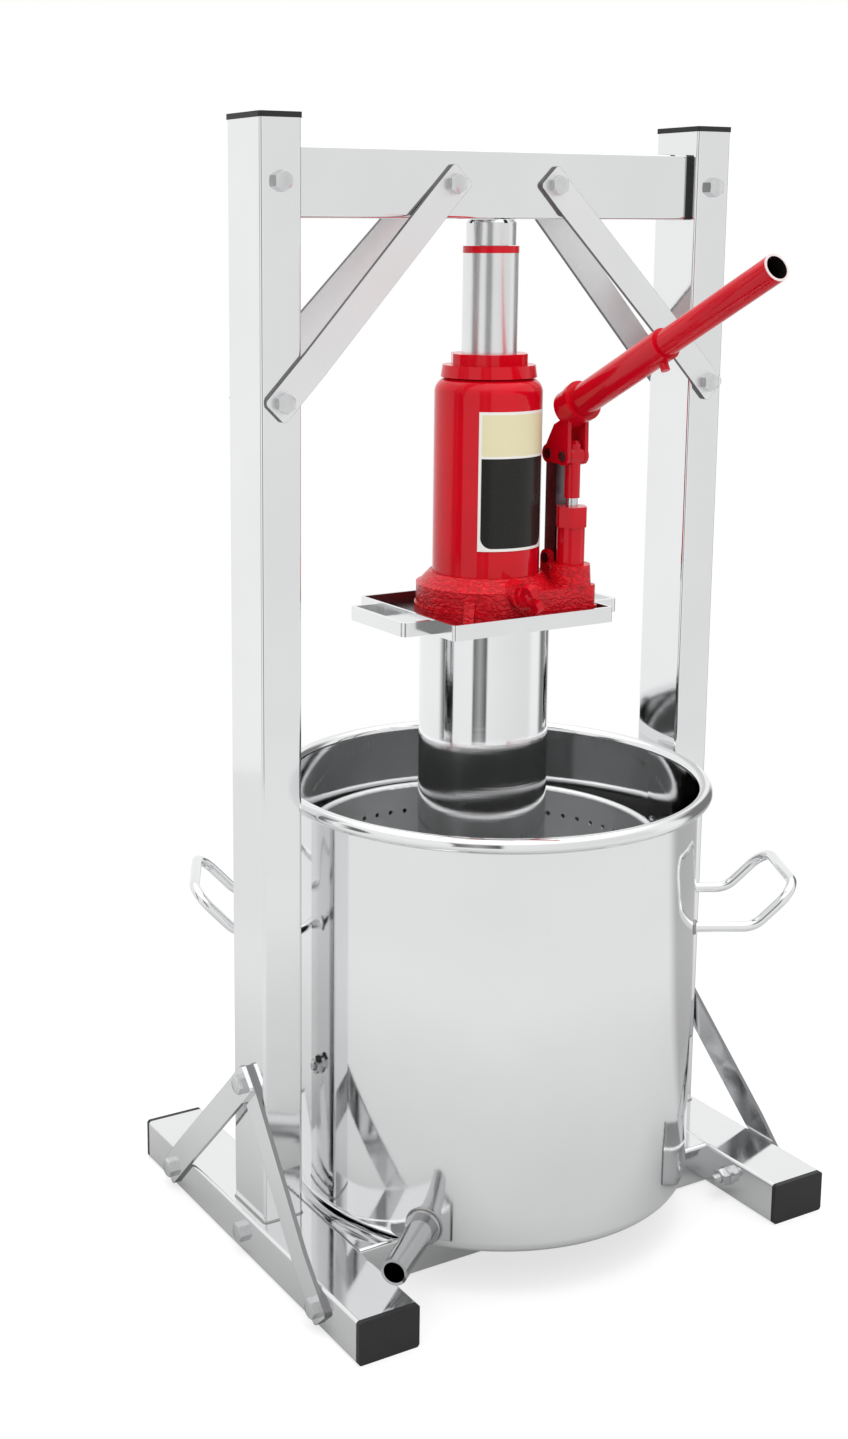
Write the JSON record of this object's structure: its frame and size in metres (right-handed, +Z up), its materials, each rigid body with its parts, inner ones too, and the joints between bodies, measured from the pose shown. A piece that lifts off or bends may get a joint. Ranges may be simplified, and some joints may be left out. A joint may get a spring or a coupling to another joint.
{
  "type": "hydraulic fruit press",
  "caption": "Tabletop fruit press: stainless tube frame, bucket with perforated basket, and a bottle jack that drives a press plate down against the top beam.",
  "frame": {"origin": "middle of the underside of the cross box, on the floor under the press axis", "axes": "+X right along the top beam, -Y front where lever, label and release valve are, +Z up"},
  "size_m": [0.343, 0.3263, 0.65],
  "materials": {
    "stainless": "mirror polished",
    "black_plastic": "satin moulded",
    "zinc_steel": "zinc plated",
    "red_paint": "gloss enamel",
    "red_cast": "gloss enamel over rough casting",
    "hard_chrome": "ground and plated",
    "seal_rubber": "moulded",
    "label_field": "bare film"
  },
  "bodies": {
    "frame": {"left_rail": "stainless", "right_rail": "stainless", "left_post": "stainless", "right_post": "stainless", "top_beam": "stainless", "cross_box": "stainless", "top_brace_front_left": "stainless", "top_brace_front_right": "stainless", "top_brace_rear_left": "stainless", "top_brace_rear_right": "stainless", "base_brace_left_front": "stainless", "base_brace_left_rear": "stainless", "base_brace_right_front": "stainless", "base_brace_right_rear": "stainless", "rail_caps": "black_plastic", "post_caps": "black_plastic", "beam_plugs": "black_plastic", "long_bolts": "zinc_steel", "short_bolts": "zinc_steel", "bolt_nuts": "zinc_steel", "bolt_washers": "zinc_steel"},
    "bucket": {"bucket_shell": "stainless", "bucket_handle_right": "stainless", "bucket_handle_left": "stainless", "spout": "stainless"},
    "basket": {"basket": "stainless"},
    "press": {"press_tube": "stainless", "press_plate": "stainless", "tray": "stainless", "tray_handle_left": "stainless", "tray_handle_right": "stainless", "jack_base": "red_cast", "reservoir": "red_paint", "top_nut": "red_paint", "inner_cylinder": "zinc_steel", "jack_label": "label_field", "pump_cylinder": "red_paint", "pump_link": "zinc_steel", "link_pins": "zinc_steel"},
    "ram": {"ram": "hard_chrome", "ram_ring": "red_paint", "ram_seal": "seal_rubber"},
    "screw": {"extension_screw": "hard_chrome"},
    "plunger": {"pump_plunger": "red_paint"},
    "handle": {"handle_socket": "red_paint", "plunger_pin": "zinc_steel"},
    "lever": {"lever_lower": "red_paint", "lever_screw": "red_paint"},
    "lever_top": {"lever_upper": "red_paint"},
    "valve": {"release_valve": "red_paint"}
  },
  "joints": [
    {"name": "press_travel", "type": "slide", "parent": "frame", "child": "press", "axis": [0, 0, 1], "range_m": [-0.045, 0.05]},
    {"name": "ram_travel", "type": "slide", "parent": "press", "child": "ram", "axis": [0, 0, 1], "range_m": [-0.05, 0.045]},
    {"name": "screw_turn", "type": "hinge", "parent": "ram", "child": "screw", "pos_m": [0, 0, 0.588], "axis": [0, 0, 1], "continuous": true},
    {"name": "bucket_lift", "type": "slide", "parent": "frame", "child": "bucket", "axis": [0, 0, 1], "range_m": [0, 0.015]},
    {"name": "basket_lift", "type": "slide", "parent": "bucket", "child": "basket", "axis": [0, 0, 1], "range_m": [0, 0.015]},
    {"name": "handle_swing", "type": "hinge", "parent": "press", "child": "handle", "pos_m": [0.0395, -0.0155, 0.461], "axis": [-1, 0, 0], "range_deg": [-15, 18]},
    {"name": "plunger_stroke", "type": "slide", "parent": "press", "child": "plunger", "axis": [0, 0, 1], "range_m": [-0.0042, 0.0048]},
    {"name": "lever_pull", "type": "slide", "parent": "handle", "child": "lever", "axis": [0, -0.891, 0.454], "range_m": [0, 0.025]},
    {"name": "lever_extend", "type": "slide", "parent": "lever", "child": "lever_top", "axis": [0, -0.891, 0.454], "range_m": [-0.035, 0.035]},
    {"name": "valve_turn", "type": "hinge", "parent": "press", "child": "valve", "pos_m": [-0.004, -0.05, 0.384], "axis": [0, -1, 0], "range_deg": [0, 270]}
  ],
  "couplings": [
    {"joint": "ram_travel", "follows": "press_travel", "ratio": -1},
    {"joint": "plunger_stroke", "follows": "handle_swing", "m_per_rad": 0.014}
  ]
}
